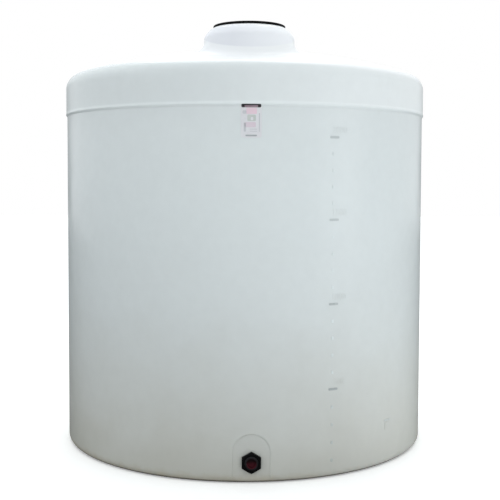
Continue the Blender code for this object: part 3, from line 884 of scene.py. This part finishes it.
def make_barrel(made):
    """Fitting's body: flange inside the tank and a threaded barrel out through the nut."""
    root = BARREL_RADIUS - 0.0012
    line = rounded([(BARREL_BORE, FLANGE_BACK, 0.001), (FLANGE_RADIUS, FLANGE_BACK, 0.003),
                    (FLANGE_RADIUS, FLANGE_FRONT, 0.002), (root, FLANGE_FRONT, 0)])
    threads = int((BARREL_END - 0.002 - FLANGE_FRONT) / BARREL_PITCH)
    for i in range(threads):
        start = FLANGE_FRONT + 0.0008 + i * BARREL_PITCH
        line += [(root, start), (BARREL_RADIUS, start + BARREL_PITCH * 0.4),
                 (BARREL_RADIUS, start + BARREL_PITCH * 0.6)]
    line += rounded([(root, BARREL_END - 0.0015, 0), (BARREL_RADIUS - 0.002, BARREL_END, 0.0008),
                     (BARREL_BORE + 0.001, BARREL_END, 0.0008),
                     (BARREL_BORE, BARREL_END - 0.0015, 0)])
    bm = bmesh.new()
    skin(bm, along_outlet(turned(line)), wrap=True)
    return keep_faces("outlet_barrel", bm, [made])


def make_plug(made):
    """Hollow cup plug screwed into the barrel's end, with a low boss in its floor."""
    front = BARREL_END - PLUG_RECESS
    back = front - PLUG_DEPTH
    outer = BARREL_BORE - CLEAR
    inner = outer - PLUG_WALL
    floor = back + PLUG_WALL
    line = rounded([
        (0, back, 0), (outer, back, 0.0012), (outer, front, 0.0008), (inner, front, 0.0008),
        (inner, floor, 0.0015), (0.008, floor, 0.0004), (0.007, floor + 0.0010, 0.0004),
        (0, floor + 0.0010, 0)])
    bm = bmesh.new()
    skin(bm, along_outlet(turned(line)))
    return keep_faces("outlet_cup_plug", bm, [made])


def make_lid(made):
    """Lid: dished plate with a raised rim and a hub on top, and the skirt inside the collar."""
    dish = LID_BOTTOM + LID_PLATE
    top = LID_BOTTOM + LID_EDGE
    rim = LID_RADIUS - 0.016
    rib_top = dish + RIB_HEIGHT
    edge = LID_RADIUS - 0.0016
    skirt_bottom = LID_BOTTOM - SKIRT_DEPTH
    skirt_bore = SKIRT_RADIUS - SKIRT_WALL
    line = [(0, rib_top)] + rounded([
        (HUB_RADIUS, rib_top, 0.002), (HUB_RADIUS, dish, 0.002), (rim - 0.004, dish, 0.003),
        (rim, top, 0.002), (edge - 0.001, top, 0.003), (edge, LID_BOTTOM, 0.0015)])
    line += rounded([
        (SKIRT_RADIUS, LID_BOTTOM, 0), (SKIRT_RADIUS, skirt_bottom, 0.002),
        (skirt_bore, skirt_bottom, 0.002), (skirt_bore, LID_BOTTOM, 0)]) + [(0, LID_BOTTOM)]
    bm = bmesh.new()
    skin(bm, turned(line, 144, (0, -MANWAY_OFFSET)))
    return keep_faces("lid_cap", bm, [made])


def block(bm, low, high):
    """A box between two corners, with its edges eased by up to 1 mm."""
    centre = (Vector(low) + Vector(high)) / 2
    size = Vector(high) - Vector(low)
    made = bmesh.ops.create_cube(bm, size=1.0)["verts"]
    bmesh.ops.scale(bm, vec=size, verts=made)
    bmesh.ops.translate(bm, vec=centre, verts=made)
    edges = [e for e in bm.edges if e.verts[0] in made and e.verts[1] in made]
    bmesh.ops.bevel(bm, geom=edges, offset=min(0.001, min(size) / 4), segments=2, affect="EDGES")


def make_lid_details(made):
    """Ribs across the lid and flutes round its edge, each made once and repeated round."""
    dish = LID_BOTTOM + LID_PLATE
    tree = repeat_tree("round_the_lid", made, "round")
    bm = bmesh.new()
    block(bm, (0.043, -0.006, dish - 0.001),
          (LID_RADIUS - 0.031, 0.006, dish + RIB_HEIGHT - CLEAR))
    ribs = keep_faces("lid_top_ribs", bm, [made])
    run_tree(ribs, tree, Count=RIB_COUNT, Step=2 * math.pi / RIB_COUNT)
    bm = bmesh.new()
    block(bm, (LID_RADIUS - 0.004, -0.0022, LID_BOTTOM + 0.001),
          (LID_RADIUS, 0.0022, LID_BOTTOM + LID_EDGE - 0.002))
    flutes = keep_faces("lid_edge_flutes", bm, [made])
    run_tree(flutes, tree, Count=FLUTE_COUNT, Step=2 * math.pi / FLUTE_COUNT)
    for piece in (ribs, flutes):
        piece.data.transform(Matrix.Translation((0, -MANWAY_OFFSET, 0)))
    return [ribs, flutes]


def wind_thread(name, made, radius, bottom, ridge):
    """One ridge wound about the manway's axis: a spiral that carries a small round section."""
    obj = bpy.data.objects.new(name, bpy.data.meshes.new(name))
    bpy.context.scene.collection.objects.link(obj)
    tree, inputs = new_tree(
        "wound_thread", Radius="Float", Turns="Float", Rise="Float", Ridge="Float")
    spiral = add(tree, "GeometryNodeCurveSpiral", {
        "Resolution": 96, "Rotations": inputs["Turns"], "Start Radius": inputs["Radius"],
        "End Radius": inputs["Radius"], "Height": inputs["Rise"]})
    section = add(tree, "GeometryNodeCurvePrimitiveCircle", {
        "Resolution": 8, "Radius": inputs["Ridge"]})
    wound = add(tree, "GeometryNodeCurveToMesh", {
        "Curve": spiral.outputs[0], "Profile Curve": section.outputs[0], "Fill Caps": True})
    smooth = add(tree, "GeometryNodeSetShadeSmooth", {"Geometry": wound.outputs[0]})
    close_tree(tree, smooth.outputs[0], made)
    run_tree(obj, tree, Radius=radius, Turns=THREAD_RISE / THREAD_PITCH, Rise=THREAD_RISE,
             Ridge=ridge)
    obj.data.transform(Matrix.Translation((0, -MANWAY_OFFSET, bottom)))
    return obj


def dress(obj, made):
    """Gives a CAD node its finished material."""
    obj.data.materials.clear()
    obj.data.materials.append(made)


def make_camera():
    """Camera where the photograph was taken from: 6.2 m off, at eye height, a little to the left.

    The photograph is cut from a larger frame whose middle lay 20 pixels above its own.
    """
    distance, height = 6.2134, 1.6471
    off_front, off_axis = math.radians(2.053), math.radians(0.335)
    down, roll = math.radians(2.917), math.radians(0.18)
    photo_width, focal_length, frame_shift = 500, 942.4, -20
    data = bpy.data.cameras.new("camera")
    data.sensor_width = 36.0
    data.lens = focal_length / photo_width * data.sensor_width
    data.shift_y = frame_shift / photo_width
    data.clip_end = 200.0
    camera = bpy.data.objects.new("camera", data)
    place = Matrix.Translation(
        (-distance * math.sin(off_front), -distance * math.cos(off_front), height))
    turn = Matrix.Rotation(-(off_front + off_axis), 4, "Z")
    turn = turn @ Matrix.Rotation(math.pi / 2 - down, 4, "X")
    camera.matrix_world = place @ turn @ Matrix.Rotation(roll, 4, "Z")
    bpy.context.scene.collection.objects.link(camera)
    bpy.context.scene.camera = camera


def make_light(name, place, aim, size, power):
    """A soft white lamp: where it stands, the point it faces, its width and height, its watts."""
    data = bpy.data.lights.new(name, "AREA")
    data.shape = "RECTANGLE"
    data.size, data.size_y = size
    data.energy = power
    light = bpy.data.objects.new(name, data)
    light.location = place
    light.rotation_euler = (Vector(aim) - Vector(place)).to_track_quat("-Z", "Y").to_euler()
    bpy.context.scene.collection.objects.link(light)


def make_floor():
    """Pale floor. It looks nearly white, and it gives less light back to the left of the tank."""
    bm = bmesh.new()
    skin(bm, turned([(0, FLOOR_LEVEL), (FLOOR_EDGE, FLOOR_LEVEL)]))
    made, tree, shader = new_material("pale_lit_floor", 0.8, Emission_Strength=0.25)
    shader.inputs["Base Color"].default_value = linear("#F6F6F5")
    shader.inputs["Emission Color"].default_value = linear("#FFFFFF")
    place = add(tree, "ShaderNodeTexCoord").outputs["Object"]
    across = add(tree, "ShaderNodeSeparateXYZ", {"Vector": place}).outputs["X"]
    given, near, far = [add(tree, "ShaderNodeMapRange", {
        "Value": across, "From Min": start, "From Max": end,
        "To Min": low, "To Max": high}).outputs["Result"] for start, end, low, high in FLOOR_SPANS]
    bounce = add(tree, "ShaderNodeMath", {0: given, 1: near}, operation="ADD")
    bounce = add(tree, "ShaderNodeMath", {0: bounce.outputs[0], 1: far}, operation="MULTIPLY")
    # Round the tank and behind it the sheen on the wall picks up a darker ground than far in front
    shifted = add(tree, "ShaderNodeVectorMath", {0: place, 1: GROUND_MIDDLE},
                  operation="SUBTRACT")
    reach = add(tree, "ShaderNodeVectorMath", {0: shifted.outputs[0]}, operation="LENGTH")
    sheen = add(tree, "ShaderNodeMapRange", {
        "Value": reach.outputs["Value"], "From Min": GROUND_REACH, "From Max": GROUND_REACH + 1.0,
        "To Min": GROUND_TONES[0], "To Max": GROUND_TONES[1]})
    path = add(tree, "ShaderNodeLightPath").outputs
    tone = add(tree, "ShaderNodeMix", {
        "Factor": path["Is Glossy Ray"], "A": bounce.outputs[0], "B": sheen.outputs["Result"]},
        data_type="FLOAT")
    dull = add(tree, "ShaderNodeBsdfDiffuse", {"Color": tone.outputs["Result"]})
    both = add(tree, "ShaderNodeMixShader", {
        0: path["Is Camera Ray"], 1: dull.outputs[0], 2: shader.outputs[0]})
    tree.links.new(both.outputs[0], tree.nodes["Material Output"].inputs["Surface"])
    keep_faces("floor_plane", bm, [made])


def make_studio():
    """Pale floor, pale surroundings and two soft lights: one overhead, one from the front right."""
    make_floor()
    world = bpy.data.worlds.new("surroundings")
    world.use_nodes = True
    bpy.context.scene.world = world
    # The backdrop is white. The light that comes from it is cooler, and weaker from the right
    tree = world.node_tree
    backdrop = tree.nodes["Background"]
    backdrop.inputs["Color"].default_value = linear("#FFFFFF")
    toward = add(tree, "ShaderNodeTexCoord").outputs["Generated"]
    axes = add(tree, "ShaderNodeSeparateXYZ", {"Vector": toward}).outputs
    strength = add(tree, "ShaderNodeMapRange", {
        "Value": axes["X"], "From Min": -1.0, "From Max": 1.0,
        "To Min": FILL[0], "To Max": FILL[1]})
    rightward = add(tree, "ShaderNodeMapRange", {
        "Value": axes["X"], "From Min": 0.2, "From Max": 1.0,
        "To Min": 1.0, "To Max": FILL_TO_RIGHT})
    strength = add(tree, "ShaderNodeMath", {
        0: strength.outputs["Result"], 1: rightward.outputs["Result"]}, operation="MULTIPLY")
    # A dark card low behind the tank draws its edges in the sheen
    path = add(tree, "ShaderNodeLightPath").outputs
    behind = add(tree, "ShaderNodeMapRange", {
        "Value": axes["Y"], "From Min": CARD_FROM, "From Max": CARD_FROM + CARD_SOFTNESS})
    low = add(tree, "ShaderNodeMapRange", {
        "Value": axes["Z"], "From Min": CARD_TOP, "From Max": 0.0})
    card = add(tree, "ShaderNodeMath", {
        0: behind.outputs["Result"], 1: low.outputs["Result"]}, operation="MULTIPLY")
    card = add(tree, "ShaderNodeMath", {
        0: card.outputs[0], 1: path["Is Glossy Ray"]}, operation="MULTIPLY")
    dim = add(tree, "ShaderNodeMapRange", {
        "Value": card.outputs[0], "To Min": 1.0, "To Max": CARD_TONE})
    light = add(tree, "ShaderNodeMath", {
        0: strength.outputs[0], 1: dim.outputs["Result"]}, operation="MULTIPLY")
    fill = add(tree, "ShaderNodeBackground", {
        "Color": linear("#F6FAFC"), "Strength": light.outputs[0]})
    both = add(tree, "ShaderNodeMixShader", {
        0: path["Is Camera Ray"], 1: fill.outputs[0], 2: backdrop.outputs[0]})
    tree.links.new(both.outputs[0], tree.nodes["World Output"].inputs["Surface"])
    make_light("overhead", (0.0, 1.5, 6.5), (0, 0, 2.2), (4.0, 4.0), OVERHEAD_POWER)
    make_light("front_right", (5.5, -4.0, 1.5), (0.6, 0, 0.4), (3.0, 2.0), FRONT_RIGHT_POWER)
    bpy.context.scene.view_settings.view_transform = "Standard"


def main():
    """Dresses the tank and sets up its studio and camera."""
    shell_plastic = natural_polyethylene("rotomoulded_natural_polyethylene", 0.2, 0.02)
    daylit = natural_polyethylene("natural_polyethylene_lit_from_outside", 1.0, 0.05)
    black = moulded_plastic(
        "injection_moulded_black_polypropylene", "#060607", "#0D0D0E", 0.5, 0.0012, 0.12)
    rubber = moulded_plastic("moulded_seal_rubber", "#17181A", "#232427", 0.75, 0.0009)
    # The barrel is painted a lighter black than the nut: painted highlight on its end ring
    highlighted_black = moulded_plastic(
        "black_polypropylene_painted_highlight", "#161517", "#262426", 0.6, 0.0010, 0.2)
    red = plug_with_painted_shade()
    dark_mark_plastic = patchy_mark("long_marks_dark", "#8E9394", "#BCC3C4", 1.2)
    faded = patchy_mark("short_marks_faded", "#A4A9A7", "#D3DADB", 0.75)
    vinyl = moulded_plastic("printed_label_vinyl", "#D9DADD", "#D3D2D6", 0.35, 0.003)
    inks = [moulded_plastic("label_ink_" + name, code, worn, 0.4, 0.003)
            for name, code, worn in LABEL_INKS]
    one_moulding = ("floor", "wall", "shoulder", "crown", "neck")
    shell_nodes = [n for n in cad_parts
                   if n.split("_")[0] in one_moulding or n == "outlet_panel"]
    shell = make_shell(shell_plastic, daylit)
    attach(shell, "tank")
    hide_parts(*sorted(shell_nodes), "manway_collar")
    for mark in make_marks(dark_mark_plastic, faded, shell_plastic):
        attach(mark, "tank")
    label = make_label(vinyl, inks)
    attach(label, "tank")
    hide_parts("label_panel")
    outlet = ((make_nut(black), "outlet_nut", "fitting"),
              (make_barrel(highlighted_black), "outlet_body", "fitting"),
              (make_plug(red), "outlet_plug", "plug"))
    for piece, node, slot in outlet:
        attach(piece, "tank")
        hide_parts(node)
    collar_thread = wind_thread(
        "collar_thread", shell_plastic, COLLAR_BORE, COLLAR_THREAD_START, COLLAR_RIDGE)
    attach(collar_thread, "tank")
    lid = make_lid(black)
    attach(lid, "lid")
    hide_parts("lid_plate", "lid_skirt")
    lid_thread = wind_thread("lid_thread", black, SKIRT_RADIUS, LID_THREAD_START, LID_RIDGE)
    for piece in make_lid_details(black) + [lid_thread]:
        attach(piece, "lid")
    for node in ("lid_seal", "outlet_seal"):
        dress(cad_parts[node], rubber)
    make_studio()
    make_camera()


main()
